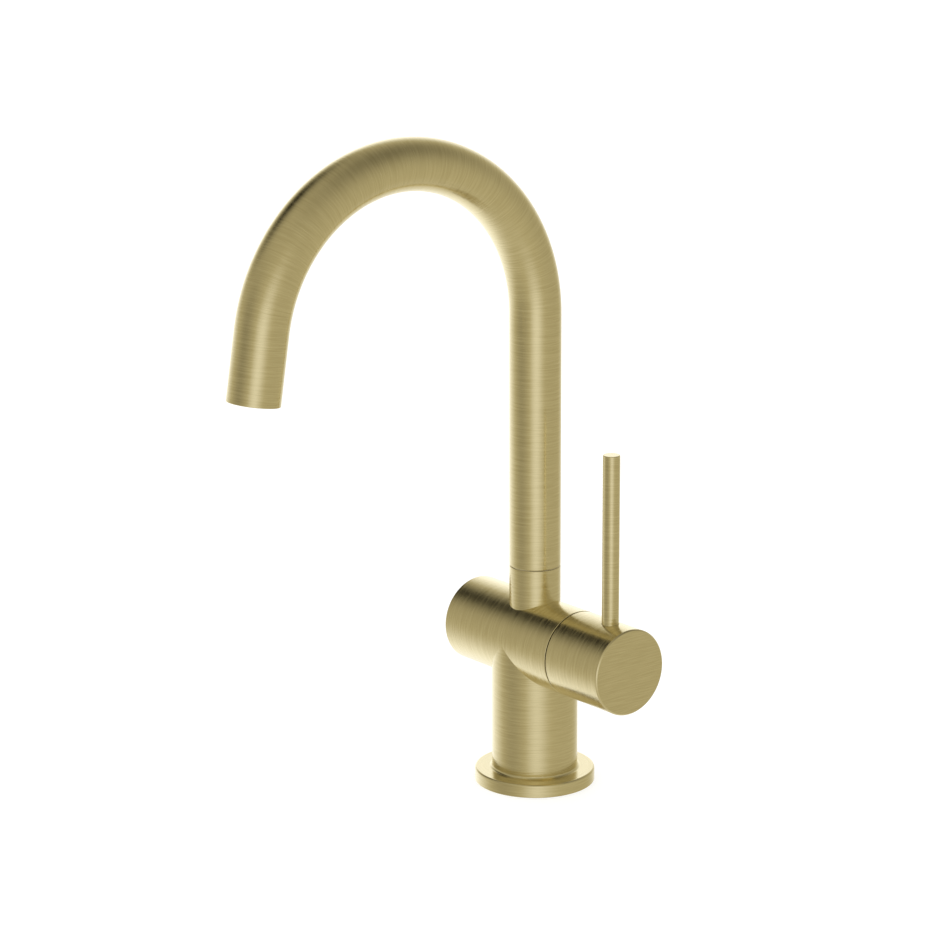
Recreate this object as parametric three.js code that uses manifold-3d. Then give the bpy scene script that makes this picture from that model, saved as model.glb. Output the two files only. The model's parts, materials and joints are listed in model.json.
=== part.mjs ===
// Single-lever basin mixer tap: T-shaped body, swivelling gooseneck spout, side handle with a pin lever.
// Frame, in mm: origin at the centre of the base on the deck, +Z up, -Y towards the user, +X the handle side.
import * as THREE from "three";
import { mergeVertices } from "three/addons/utils/BufferGeometryUtils.js";
import Module from "manifold-3d";

const wasm = await Module();
wasm.setup();

// ---- Driving dimensions ----
const FIT = 0.15; // radial clearance between pieces fixed to each other
const RUN = 0.3; // clearance between pieces that turn on each other
const SEAT = 0.1; // axial play left where one piece sits on the next

const COLUMN_R = 21;
const ARM_R = COLUMN_R; // cross arm and handle knob, as wide as the column
const AXIS_Z = 72.4; // height of the arm's axis
const ARM_LEFT = -44.2;
const SEAM_X = 32.7; // middle of the gap between arm and knob
const SEAM_GAP = 0.7;
const EDGE = 0.35; // broken edges of turned pieces

const FLANGE_R = 29.5;
const FLANGE_T = 6.6;
const FLANGE_EDGE = 1;
const COVE = 1.4; // hollow fillet between flange and column

const SPOUT_R = 12.5;
const SPOUT_WALL = 1.2;
const STUB_L = 16.3; // riser stub above the arm
const SPOUT_GAP = 0.35; // gap at the swivel seam
const RISE = 124.7; // from the stub's top to the arch's centre
const ARCH_R = 79.8;
const TAIL_TILT = 9.3; // degrees the straight end leans outwards
const TAIL_L = 32.7;

const KNOB_END = 70.4;
const KNOB_EDGE = 0.65; // chamfer round the knob's end face
const KNOB_WALL = 3.5;
const PIN_R = 4.1;
const PIN_L = 82.5; // pin above the knob
const PIN_INSET = 14.4; // pin's axis from the knob's end

const CHAMBER_FLOOR = -6;
const INLET_R = 3.5; // hot and cold ways
const SOCKET_R = 5; // hose sockets in the underside
const SOCKET_DEPTH = 12;
const OUTLET_WAY_R = 4;

const STUD_X = 9;
const STUD_R = 3.9;
const DECK_T = 30; // thickness of basin or worktop that is clamped
const GASKET_SECTION_R = 1.5;

// ---- Places shared by several pieces ----
const INLET_X = -0.595 * COLUMN_R;
const INLET_Y = 0.357 * COLUMN_R;
const CHAMBER_R = ARM_R - 3.4; // cartridge chamber in the arm
const STUB_TOP = AXIS_Z + ARM_R + STUB_L;
const ARCH_Z = STUB_TOP + RISE;
const NIPPLE_BORE_R = SPOUT_R - 3.5;
const NIPPLE_BORE_Z = AXIS_Z + CHAMBER_R + 3;
const PIN_X = KNOB_END - PIN_INSET;
const PIN_TOP = AXIS_Z + ARM_R + PIN_L;
const GASKET_R = FLANGE_R - 5;

// ---- Helpers ----
const FINE = 36;
const MID = 20;
const COARSE = 16;
const TAU = 2 * Math.PI;

function weld(geometry) {
  geometry.deleteAttribute("normal");
  geometry.deleteAttribute("uv");
  const merged = mergeVertices(geometry, 1e-4);
  const kept = [];
  const index = merged.index.array;
  for (let i = 0; i < index.length; i += 3) {
    const [a, b, c] = [index[i], index[i + 1], index[i + 2]];
    if (a !== b && b !== c && c !== a) kept.push(a, b, c);
  }
  merged.setIndex(kept);
  return merged;
}

function toSolid(geometry) {
  const g = weld(geometry);
  return new wasm.Manifold(
    new wasm.Mesh({
      numProp: 3,
      vertProperties: new Float32Array(g.attributes.position.array),
      triVerts: new Uint32Array(g.index.array),
    }),
  );
}

function fromSolid(solid) {
  const made = solid.getMesh();
  const geometry = new THREE.BufferGeometry();
  geometry.setAttribute("position", new THREE.BufferAttribute(made.vertProperties, 3));
  geometry.setIndex([...made.triVerts]);
  return geometry;
}

function cut(base, ...tools) {
  return fromSolid(tools.reduce((solid, tool) => solid.subtract(toSolid(tool)), toSolid(base)));
}

// A profile of [radius, height] pairs, turned about Z.
function turned(profile, segments = MID) {
  const points = profile.map(([r, h]) => new THREE.Vector2(r, h));
  return weld(new THREE.LatheGeometry(points, segments).rotateX(Math.PI / 2));
}

// The same, turned about the arm's axis: height runs along +X.
function turnedOnArm(profile, segments = MID) {
  return turned(profile, segments).rotateY(Math.PI / 2).translate(0, 0, AXIS_Z);
}

const rod = (r, from, to) => [[0, from], [r, from], [r, to], [0, to]];
const tube = (rOut, rIn, from, to) => [[rIn, from], [rOut, from], [rOut, to], [rIn, to], [rIn, from]];

// A rod with both rims bevelled.
const bevelledRod = (r, from, to, edge) => [
  [0, from],
  [r - edge, from],
  [r, from + edge],
  [r, to - edge],
  [r - edge, to],
  [0, to],
];

// A round section turned about Z into a ring.
function roundRing(meanR, sectionR, z, sides = 6) {
  const profile = [];
  for (let i = 0; i <= sides; i++) {
    const a = (TAU * (i % sides)) / sides;
    profile.push([meanR + sectionR * Math.cos(a), z + sectionR * Math.sin(a)]);
  }
  return profile;
}

function arcPoints(cx, cz, r, fromDeg, toDeg, steps) {
  const points = [];
  for (let i = 0; i <= steps; i++) {
    const a = THREE.MathUtils.degToRad(fromDeg + ((toDeg - fromDeg) * i) / steps);
    points.push([cx + r * Math.cos(a), cz + r * Math.sin(a)]);
  }
  return points;
}

function circleShape(r, points) {
  const shape = new THREE.Shape();
  for (let i = 0; i < points; i++) {
    const a = (TAU * i) / points;
    if (i === 0) shape.moveTo(r, 0);
    else shape.lineTo(r * Math.cos(a), r * Math.sin(a));
  }
  shape.closePath();
  return shape;
}

function holeAt(x, y, r, points) {
  const hole = new THREE.Path();
  for (let i = 0; i < points; i++) {
    const a = (TAU * i) / points;
    if (i === 0) hole.moveTo(x + r, y);
    else hole.lineTo(x + r * Math.cos(a), y + r * Math.sin(a));
  }
  hole.closePath();
  return hole;
}

function plate(shape, from, to) {
  const geometry = new THREE.ExtrudeGeometry(shape, { depth: to - from, bevelEnabled: false });
  return weld(geometry).translate(0, 0, from);
}

function splineShape(rOut, rIn, teeth) {
  const shape = new THREE.Shape();
  const step = TAU / teeth;
  for (let i = 0; i < teeth; i++) {
    const corners = [[rIn, 0.05], [rOut, 0.3], [rOut, 0.6], [rIn, 0.85]];
    for (const [r, share] of corners) {
      const a = (i + share) * step;
      if (i === 0 && share === corners[0][1]) shape.moveTo(r * Math.cos(a), r * Math.sin(a));
      else shape.lineTo(r * Math.cos(a), r * Math.sin(a));
    }
  }
  shape.closePath();
  return shape;
}

// ---- Finishes ----
const FINISH = {
  brushed: { color: 0xb5a878, roughness: 0.32, metalness: 1 },
  brass: { color: 0xc9a85a, roughness: 0.4, metalness: 1 },
  steel: { color: 0xb4b6b8, roughness: 0.35, metalness: 1 },
  rubber: { color: 0x1d1d1d, roughness: 0.85, metalness: 0 },
  plastic: { color: 0xe6e4dc, roughness: 0.5, metalness: 0 },
  darkPlastic: { color: 0x3a3a38, roughness: 0.55, metalness: 0 },
  ceramic: { color: 0xf1efe9, roughness: 0.2, metalness: 0 },
};

const tap = new THREE.Group();

function add(name, geometry, finish) {
  const mesh = new THREE.Mesh(geometry, new THREE.MeshStandardMaterial(FINISH[finish]));
  mesh.name = name;
  tap.add(mesh);
}

// ---- Body casting ----
const ARM_RIGHT = SEAM_X - SEAM_GAP / 2;
const SLIDE_SEAT_R = ARM_R - 1.4; // recess at the arm's mouth for the handle's slide ring
const SLIDE_SEAT_X = ARM_RIGHT - 1.2;
const PLUG_SEAT_R = ARM_R - 3; // recess at the arm's left end for its plug
const PLUG_T = 3.4;
const LEFT_BORE_R = ARM_R - 4.5;
const LEFT_BORE_END = INLET_X - INLET_R - 2.5;
const SCREW_Z = STUB_TOP - 5.5; // spout retaining screw
const SCREW_R = 1.5;

function columnBlank() {
  const rim = arcPoints(FLANGE_R - FLANGE_EDGE, FLANGE_T - FLANGE_EDGE, FLANGE_EDGE, 0, 90, 3);
  const cove = arcPoints(COLUMN_R + COVE, FLANGE_T + COVE, COVE, 270, 180, 3);
  return turned(
    [[0, 0], [FLANGE_R - EDGE, 0], [FLANGE_R, EDGE], ...rim, ...cove, [COLUMN_R, AXIS_Z], [0, AXIS_Z]],
    FINE,
  );
}

function bodyGeometry() {
  const arm = turnedOnArm(bevelledRod(ARM_R, ARM_LEFT, ARM_RIGHT, EDGE), FINE);
  const stub = turned(
    [[0, AXIS_Z], [SPOUT_R, AXIS_Z], [SPOUT_R, STUB_TOP - EDGE], [SPOUT_R - EDGE, STUB_TOP], [0, STUB_TOP]],
    MID,
  );
  const blank = toSolid(columnBlank()).add(toSolid(arm)).add(toSolid(stub));
  const ways = [-1, 1].flatMap((side) => [
    turned(rod(INLET_R, SOCKET_DEPTH - 1, AXIS_Z + INLET_R), COARSE).translate(INLET_X, side * INLET_Y, 0),
    turned(rod(SOCKET_R, -1, SOCKET_DEPTH), COARSE).translate(INLET_X, side * INLET_Y, 0),
    turnedOnArm(rod(INLET_R - 0.2, INLET_X, CHAMBER_FLOOR + 1), COARSE).translate(0, side * INLET_Y, 0),
  ]);
  const tools = [
    ...ways,
    turnedOnArm(rod(CHAMBER_R, CHAMBER_FLOOR, ARM_RIGHT + 1), FINE),
    turnedOnArm(rod(SLIDE_SEAT_R, SLIDE_SEAT_X, ARM_RIGHT + 1), FINE),
    turnedOnArm(rod(LEFT_BORE_R, ARM_LEFT - 1, LEFT_BORE_END), FINE),
    turnedOnArm(rod(PLUG_SEAT_R, ARM_LEFT - 1, ARM_LEFT + PLUG_T), FINE),
    turned(rod(NIPPLE_BORE_R, NIPPLE_BORE_Z, STUB_TOP + 1), MID),
    turned(rod(OUTLET_WAY_R, AXIS_Z + CHAMBER_R - 3, NIPPLE_BORE_Z + 1), COARSE).translate(-1, 0, 0),
    turned(rod(STUD_R + FIT, -1, 15), COARSE).translate(STUD_X, 0, 0),
    turned(
      tube(GASKET_R + GASKET_SECTION_R + FIT, GASKET_R - GASKET_SECTION_R - FIT, -1, 2 * GASKET_SECTION_R),
      MID,
    ),
    turned(rod(SCREW_R + FIT, NIPPLE_BORE_R - 2, SPOUT_R + 1), 12).rotateX(-Math.PI / 2).translate(0, 0, SCREW_Z),
  ];
  return fromSolid(tools.reduce((solid, tool) => solid.subtract(toSolid(tool)), blank));
}

add("body", bodyGeometry(), "brushed");

const plugFace = ARM_LEFT + SEAT;
const plugR = PLUG_SEAT_R - FIT;
const ringR = LEFT_BORE_R - 1.1;
const ringX = ARM_LEFT + 5.5;
const ringGroove = 1.3; // half its width
add(
  "arm_end_plug",
  turnedOnArm([
    [0, plugFace],
    [plugR - EDGE, plugFace],
    [plugR, plugFace + EDGE],
    [plugR, ARM_LEFT + PLUG_T - SEAT],
    [LEFT_BORE_R - RUN, ARM_LEFT + PLUG_T - SEAT],
    [LEFT_BORE_R - RUN, ringX - ringGroove],
    [ringR - 1, ringX - ringGroove],
    [ringR - 1, ringX + ringGroove],
    [LEFT_BORE_R - RUN, ringX + ringGroove],
    [LEFT_BORE_R - RUN, ringX + 2.7],
    [0, ringX + 2.7],
  ]),
  "brushed",
);
add("arm_end_oring", turnedOnArm(roundRing(ringR + 0.05, 0.9, ringX)), "rubber");

// ---- Deck fixing ----
add(
  "base_gasket",
  turned(roundRing(GASKET_R, GASKET_SECTION_R - SEAT, GASKET_SECTION_R)),
  "rubber",
);

const STACK_TOP = -DECK_T;
const RUBBER_T = 3;
const STEEL_T = 2;
const NUT_H = 7;
const STUD_LOW = -58;

// A washer open on one side so that it slips round the stud and the hoses.
function horseshoe(r, from, to) {
  const shape = new THREE.Shape();
  const mouth = SOCKET_R + INLET_Y + 2;
  const turn = Math.asin(mouth / r);
  const steps = 20;
  shape.moveTo(-r * Math.cos(turn), -mouth);
  for (let i = 1; i <= steps; i++) {
    const a = -Math.PI + turn + ((TAU - 2 * turn) * i) / steps;
    shape.lineTo(r * Math.cos(a), r * Math.sin(a));
  }
  shape.lineTo(-2, mouth);
  shape.lineTo(-2, -mouth);
  shape.closePath();
  shape.holes.push(holeAt(STUD_X, 0, STUD_R + RUN, 16));
  return plate(shape, from, to);
}

const FIXING_R = FLANGE_R - 7.5;
add("fixing_rubber_washer", horseshoe(FIXING_R, STACK_TOP - RUBBER_T, STACK_TOP), "rubber");
const steelTop = STACK_TOP - RUBBER_T - SEAT;
add("fixing_steel_washer", horseshoe(FIXING_R - 0.5, steelTop - STEEL_T, steelTop), "steel");

const nutShape = circleShape(7.5, 6);
nutShape.holes.push(holeAt(0, 0, STUD_R + FIT, 16));
const nutTop = steelTop - STEEL_T - SEAT;
add("fixing_nut", plate(nutShape, nutTop - NUT_H, nutTop).translate(STUD_X, 0, 0), "brass");
add(
  "fixing_stud",
  turned(bevelledRod(STUD_R, STUD_LOW, 14, 0.8), 16).translate(STUD_X, 0, 0),
  "steel",
);

// ---- Cartridge: quarter-turn ceramic discs, one motion for flow and then warmth ----
const PORT_R = 3;
const BASE_FROM = CHAMBER_FLOOR + 0.4;
const BASE_TO = BASE_FROM + 7;
const FIXED_TO = BASE_TO + 4.1;
const MOVING_TO = FIXED_TO + 3.6;
const DRIVER_TO = MOVING_TO + 3.1;
const HOUSING_TO = DRIVER_TO + 3.8;
const NECK_TO = HOUSING_TO + 10;
const HOUSING_R = CHAMBER_R - 0.7;
const HOUSING_BORE_R = HOUSING_R - 2.7;
const NECK_R = HOUSING_R - 4.4;
const MOVING_R = HOUSING_BORE_R - 1.2;
const STEM_R = 6;
const KNOB_FROM = SEAM_X + SEAM_GAP / 2;
const BOSS_FROM = KNOB_FROM + 9.95;
const INSERT_TO = BOSS_FROM + 10;
const SPLINE_FROM = KNOB_FROM - 3;
const STEM_TO = INSERT_TO - 1;
const SPLINE = { tip: 4.9, root: 4.3, teeth: 16 };
const OUTLET_PORT_R = 2.4;
const SEAL_R = 5;

const portWay = (r, from, to, side) =>
  turnedOnArm(rod(r, from, to), COARSE).translate(0, side * INLET_Y, 0);
const OUTLET_RISE = 0.4545 * CHAMBER_R; // height of the outlet way above the axis

add(
  "cartridge_base",
  cut(
    turnedOnArm(rod(HOUSING_R, BASE_FROM, BASE_TO), MID),
    portWay(PORT_R, BASE_FROM - 1, BASE_TO + 1, -1),
    portWay(PORT_R, BASE_FROM - 1, BASE_TO + 1, 1),
    portWay(SEAL_R + FIT, BASE_FROM - 1, BASE_FROM + 1.8, -1),
    portWay(SEAL_R + FIT, BASE_FROM - 1, BASE_FROM + 1.8, 1),
    turnedOnArm(rod(OUTLET_PORT_R, BASE_FROM + 1.6, BASE_TO + 1), 16).translate(0, 0, OUTLET_RISE),
    turned(rod(OUTLET_PORT_R, AXIS_Z + OUTLET_RISE, AXIS_Z + CHAMBER_R), 16).translate(BASE_FROM + 4.2, 0, 0),
  ),
  "plastic",
);
for (const [name, side] of [["cold", -1], ["hot", 1]])
  add(
    "cartridge_seal_" + name,
    turnedOnArm(tube(SEAL_R, 3.4, CHAMBER_FLOOR + SEAT, BASE_FROM + 1.7)).translate(0, side * INLET_Y, 0),
    "rubber",
  );
add(
  "ceramic_disc_fixed",
  cut(
    turnedOnArm(rod(HOUSING_BORE_R - RUN, BASE_TO + SEAT, FIXED_TO), MID),
    portWay(PORT_R, BASE_TO - 1, FIXED_TO + 1, -1),
    portWay(PORT_R, BASE_TO - 1, FIXED_TO + 1, 1),
    turnedOnArm(rod(OUTLET_PORT_R, BASE_TO - 1, FIXED_TO + 1), 16).translate(0, 0, OUTLET_RISE),
  ),
  "ceramic",
);
const HOUSING_RING_X = HOUSING_TO - 6.7;
add(
  "cartridge_housing",
  turnedOnArm([
    [HOUSING_BORE_R, BASE_TO + SEAT],
    [HOUSING_R, BASE_TO + SEAT],
    [HOUSING_R, HOUSING_RING_X - 1.3],
    [HOUSING_R - 1.6, HOUSING_RING_X - 1.3],
    [HOUSING_R - 1.6, HOUSING_RING_X + 1.3],
    [HOUSING_R, HOUSING_RING_X + 1.3],
    [HOUSING_R, HOUSING_TO],
    [NECK_R, HOUSING_TO],
    [NECK_R, NECK_TO],
    [STEM_R + RUN, NECK_TO],
    [STEM_R + RUN, DRIVER_TO + RUN],
    [HOUSING_BORE_R, DRIVER_TO + RUN],
    [HOUSING_BORE_R, BASE_TO + SEAT],
  ]),
  "plastic",
);
add("cartridge_oring", turnedOnArm(roundRing(HOUSING_R - 0.6, 0.95, HOUSING_RING_X)), "rubber");

const NUT_TO = HOUSING_TO + 8;
const nutRing = turnedOnArm(tube(CHAMBER_R - RUN, NECK_R + RUN, HOUSING_TO + SEAT, NUT_TO));
const keySlot = (width, height) =>
  new THREE.BoxGeometry(6, width, height).translate(NUT_TO + 0.5, 0, AXIS_Z);
add("cartridge_nut", cut(nutRing, keySlot(5, 60), keySlot(60, 5)), "brass");

// ---- Handle, turning about the arm's axis ----
const BOSS_R = 11;
const POCKET_END = KNOB_END - 5.4;
const INSERT_R = 8;
const GRUB_X = BOSS_FROM + 5;
const GRUB_R = 2;

add(
  "handle_slide_ring",
  turnedOnArm(tube(SLIDE_SEAT_R - FIT, CHAMBER_R - 0.5, SLIDE_SEAT_X + SEAT, KNOB_FROM - 0.2), FINE),
  "darkPlastic",
);
add(
  "ceramic_disc_moving",
  cut(
    turnedOnArm(rod(MOVING_R, FIXED_TO + SEAT, MOVING_TO), MID),
    turnedOnArm(rod(0.385 * MOVING_R, FIXED_TO - 1, FIXED_TO + 2), 16).translate(0, 0, 0.385 * MOVING_R),
  ),
  "ceramic",
);

function stemGeometry() {
  const shaft = turnedOnArm([
    [0, MOVING_TO + SEAT],
    [HOUSING_BORE_R - 2, MOVING_TO + SEAT],
    [HOUSING_BORE_R - 2, DRIVER_TO],
    [STEM_R, DRIVER_TO],
    [STEM_R, SPLINE_FROM],
    [0, SPLINE_FROM],
  ], COARSE);
  const spline = plate(splineShape(SPLINE.tip, SPLINE.root, SPLINE.teeth), SPLINE_FROM - 1, STEM_TO)
    .rotateY(Math.PI / 2)
    .translate(0, 0, AXIS_Z);
  return fromSolid(toSolid(shaft).add(toSolid(spline)));
}
add("cartridge_stem", stemGeometry(), "brass");

function insertGeometry() {
  const outer = turnedOnArm(rod(INSERT_R, BOSS_FROM + SEAT, INSERT_TO - SEAT), COARSE);
  const bore = plate(splineShape(SPLINE.tip + FIT, SPLINE.root + FIT, SPLINE.teeth), BOSS_FROM - 1, STEM_TO + 0.3)
    .rotateY(Math.PI / 2)
    .translate(0, 0, AXIS_Z);
  return cut(outer, bore);
}
add("handle_spline_insert", insertGeometry(), "plastic");

const PIN_FOOT = AXIS_Z + ARM_R - 2; // seat of the pin's shoulder, sunk in the knob
const SPIGOT_R = 3;
const SPIGOT_LOW = AXIS_Z + 5;

add(
  "handle_knob",
  cut(
    turnedOnArm([
      [0, INSERT_TO],
      [INSERT_R + FIT, INSERT_TO],
      [INSERT_R + FIT, BOSS_FROM],
      [BOSS_R, BOSS_FROM],
      [BOSS_R, POCKET_END],
      [ARM_R - KNOB_WALL, POCKET_END],
      [ARM_R - KNOB_WALL, KNOB_FROM],
      [ARM_R - EDGE, KNOB_FROM],
      [ARM_R, KNOB_FROM + EDGE],
      [ARM_R, KNOB_END - KNOB_EDGE],
      [ARM_R - KNOB_EDGE, KNOB_END],
      [0, KNOB_END],
    ], FINE),
    turned(rod(PIN_R + FIT, PIN_FOOT, AXIS_Z + ARM_R + 1), COARSE).translate(PIN_X, 0, 0),
    turned(rod(SPIGOT_R + FIT, SPIGOT_LOW - SEAT, PIN_FOOT + 1), COARSE).translate(PIN_X, 0, 0),
    turned(rod(GRUB_R + FIT, AXIS_Z - ARM_R - 1, AXIS_Z - INSERT_R), 12).translate(GRUB_X, 0, 0),
  ),
  "brushed",
);
add(
  "handle_pin",
  turned([
    [0, SPIGOT_LOW],
    [SPIGOT_R, SPIGOT_LOW],
    [SPIGOT_R, PIN_FOOT + SEAT],
    [PIN_R, PIN_FOOT + SEAT],
    [PIN_R, PIN_TOP - EDGE],
    [PIN_R - EDGE, PIN_TOP],
    [0, PIN_TOP],
  ], COARSE).translate(PIN_X, 0, 0),
  "brushed",
);
add(
  "handle_grub_screw",
  turned(rod(GRUB_R, AXIS_Z - 17, AXIS_Z - INSERT_R - FIT), 12).translate(GRUB_X, 0, 0),
  "steel",
);

// ---- Spout, turning about the riser's axis ----
const SPOUT_LOW = STUB_TOP + SPOUT_GAP;
const SPOUT_BORE_R = SPOUT_R - SPOUT_WALL;
const TILT = THREE.MathUtils.degToRad(TAIL_TILT);
const RISE_L = ARCH_Z - SPOUT_LOW;
const ARC_L = ARCH_R * (Math.PI - TILT);
const SPOUT_L = RISE_L + ARC_L + TAIL_L;
const TUBE_SIDES = 24;
const TUBE_STEPS = 22;

// Straight rise, arch towards -Y, straight end that leans outwards.
class SpoutCentreline extends THREE.Curve {
  getPoint(t, target = new THREE.Vector3()) {
    const s = t * SPOUT_L;
    if (s <= RISE_L) return target.set(0, 0, SPOUT_LOW + s);
    const a = Math.min((s - RISE_L) / ARCH_R, Math.PI - TILT);
    const rest = Math.max(s - RISE_L - ARC_L, 0);
    return target.set(
      0,
      -ARCH_R + ARCH_R * Math.cos(a) - rest * Math.sin(TILT),
      ARCH_Z + ARCH_R * Math.sin(a) - rest * Math.cos(TILT),
    );
  }
}

function spoutTube() {
  const wall = circleShape(SPOUT_R, TUBE_SIDES);
  wall.holes.push(holeAt(0, 0, SPOUT_BORE_R, TUBE_SIDES));
  const extrudePath = new SpoutCentreline();
  return weld(new THREE.ExtrudeGeometry(wall, { steps: TUBE_STEPS, extrudePath, bevelEnabled: false }));
}
add("spout_tube", spoutTube(), "brushed");

const FOOT_R = NIPPLE_BORE_R - RUN;
const RING_ZS = [NIPPLE_BORE_Z + 2.7, NIPPLE_BORE_Z + 6.5];
const RING_HALF = 1.1;
const GROOVE_R = FOOT_R - 1.7;
const CATCH_R = FOOT_R - 1.5;
const FOOT_WAY_R = FOOT_R - 3.2;
const FOOT_TOP_R = SPOUT_BORE_R - 0.2;
const CATCH_HALF = 1.9;
const FOOT_LOW = NIPPLE_BORE_Z + 0.4;

function spoutFoot() {
  const outer = [[FOOT_WAY_R, FOOT_LOW], [FOOT_R, FOOT_LOW]];
  for (const [z, half, r] of [...RING_ZS.map((z) => [z, RING_HALF, GROOVE_R]), [SCREW_Z, CATCH_HALF, CATCH_R]])
    outer.push([FOOT_R, z - half], [r, z - half], [r, z + half], [FOOT_R, z + half]);
  return turned([
    ...outer,
    [FOOT_R, SPOUT_LOW + SEAT],
    [FOOT_TOP_R, SPOUT_LOW + SEAT],
    [FOOT_TOP_R, SPOUT_LOW + 13],
    [FOOT_TOP_R - 3, SPOUT_LOW + 13],
    [FOOT_TOP_R - 3, SPOUT_LOW + 4],
    [FOOT_WAY_R, SPOUT_LOW],
    [FOOT_WAY_R, FOOT_LOW],
  ]);
}
add("spout_foot", spoutFoot(), "brass");
RING_ZS.forEach((z, i) =>
  add(["spout_oring_lower", "spout_oring_upper"][i], turned(roundRing(GROOVE_R + 0.98, 0.86, z)), "rubber"),
);
add(
  "spout_slide_ring",
  turned(tube(SPOUT_R - 0.5, NIPPLE_BORE_R + FIT, STUB_TOP + 0.02, STUB_TOP + 0.2)),
  "darkPlastic",
);
add(
  "spout_retaining_screw",
  turned(rod(SCREW_R, CATCH_R + 0.5, SPOUT_R - 1), 12).rotateX(-Math.PI / 2).translate(0, 0, SCREW_Z),
  "steel",
);

// ---- Outlet, in the leaning end of the spout: +Z runs up into the tube from the rim ----
const rim = new SpoutCentreline().getPoint(1);
const outletPose = new THREE.Matrix4().makeRotationX(-TILT).setPosition(rim);
const atOutlet = (geometry) => geometry.applyMatrix4(outletPose);

const BUSH_R = SPOUT_BORE_R - 0.25;
const THREAD_R = BUSH_R - 0.95;
const BUSH_FROM = 1;
const BUSH_TO = 19;
const HOUSING_OUT_R = THREAD_R - 0.25;
const HOUSING_IN_R = THREAD_R - 1.8;
const HOUSING_H = 12;
const INSIDE_R = HOUSING_IN_R - 0.25;

add("outlet_bush", atOutlet(turned(tube(BUSH_R, THREAD_R, BUSH_FROM, BUSH_TO))), "brass");
add(
  "aerator_housing",
  atOutlet(turned([
    [HOUSING_IN_R - 1, BUSH_FROM + 0.5],
    [HOUSING_OUT_R, BUSH_FROM + 0.5],
    [HOUSING_OUT_R, BUSH_FROM + 0.5 + HOUSING_H],
    [HOUSING_IN_R, BUSH_FROM + 0.5 + HOUSING_H],
    [HOUSING_IN_R, BUSH_FROM + 2.5],
    [HOUSING_IN_R - 1, BUSH_FROM + 2.5],
    [HOUSING_IN_R - 1, BUSH_FROM + 0.5],
  ], COARSE)),
  "plastic",
);

const CELL_R = 0.137 * INSIDE_R;

function honeycomb() {
  const shape = circleShape(INSIDE_R, COARSE);
  shape.holes.push(holeAt(0, 0, CELL_R, 6));
  for (const [share, count] of [[0.373, 6], [0.733, 12]])
    for (let i = 0; i < count; i++) {
      const a = (TAU * i) / count;
      const r = share * INSIDE_R;
      shape.holes.push(holeAt(r * Math.cos(a), r * Math.sin(a), CELL_R, 6));
    }
  return plate(shape, 3.8, 6.4);
}
add("aerator_insert", atOutlet(honeycomb()), "plastic");

const limiter = circleShape(INSIDE_R, COARSE);
for (let i = 0; i < 4; i++) {
  const a = (TAU * (i + 0.5)) / 4;
  limiter.holes.push(holeAt(0.56 * INSIDE_R * Math.cos(a), 0.56 * INSIDE_R * Math.sin(a), CELL_R + 0.3, 8));
}
add("flow_regulator", atOutlet(plate(limiter, 7, 11)), "darkPlastic");
add("aerator_washer", atOutlet(turned(tube(THREAD_R - RUN, THREAD_R - 3.1, 14, 16), COARSE)), "rubber");

export default tap;
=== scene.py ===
import json
import math

import bmesh
import bpy
import numpy as np
from mathutils import Matrix, Vector


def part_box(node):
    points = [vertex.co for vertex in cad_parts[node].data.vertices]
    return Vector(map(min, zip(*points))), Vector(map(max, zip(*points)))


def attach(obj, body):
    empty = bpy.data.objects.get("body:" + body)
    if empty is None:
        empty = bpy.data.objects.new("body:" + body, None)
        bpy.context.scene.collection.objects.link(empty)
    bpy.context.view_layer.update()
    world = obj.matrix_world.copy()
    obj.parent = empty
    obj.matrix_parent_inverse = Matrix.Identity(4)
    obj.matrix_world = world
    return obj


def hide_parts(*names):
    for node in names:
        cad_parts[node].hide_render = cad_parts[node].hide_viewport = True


# A single-lever basin mixer in brushed brass: T-shaped body, swivelling gooseneck spout, pin lever.
# Metres, in the part's own frame: origin at the centre of the base on the deck, +Z up, +X the handle side.
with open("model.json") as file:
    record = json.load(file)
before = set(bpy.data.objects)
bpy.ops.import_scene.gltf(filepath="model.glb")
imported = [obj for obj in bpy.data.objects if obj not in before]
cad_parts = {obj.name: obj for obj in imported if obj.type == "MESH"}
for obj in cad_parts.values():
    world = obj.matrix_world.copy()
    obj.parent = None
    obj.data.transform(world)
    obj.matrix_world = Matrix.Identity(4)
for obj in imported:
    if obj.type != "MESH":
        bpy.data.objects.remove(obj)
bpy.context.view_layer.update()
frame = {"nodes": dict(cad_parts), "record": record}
nodes = frame["nodes"]
MM = 0.001


# ---- Camera: slightly above the tap, from the front on the handle side ----
CAMERA_SPOT = (1.16794, -0.96862, 0.55717)
CAMERA_AZIMUTH, CAMERA_ELEVATION, CAMERA_ROLL = 51.516, 14.767, -0.215  # degrees
CAMERA_LENS, CAMERA_SENSOR = 124.573, 36


def set_camera():
    azimuth, elevation, roll = (
        math.radians(turn) for turn in (CAMERA_AZIMUTH, CAMERA_ELEVATION, CAMERA_ROLL)
    )
    back = Vector((
        math.sin(azimuth) * math.cos(elevation),
        -math.cos(azimuth) * math.cos(elevation),
        math.sin(elevation),
    ))
    right = Vector((math.cos(azimuth), math.sin(azimuth), 0))
    up = back.cross(right)
    right, up = (
        right * math.cos(roll) + up * math.sin(roll),
        up * math.cos(roll) - right * math.sin(roll),
    )
    data = bpy.data.cameras.new("tap_camera")
    data.sensor_width = CAMERA_SENSOR
    data.lens = CAMERA_LENS
    data.clip_end = 50
    camera = bpy.data.objects.new("tap_camera", data)
    turn = Matrix((right, up, back)).transposed()
    camera.matrix_world = Matrix.Translation(CAMERA_SPOT) @ turn.to_4x4()
    bpy.context.scene.collection.objects.link(camera)
    bpy.context.scene.camera = camera


set_camera()


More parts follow.
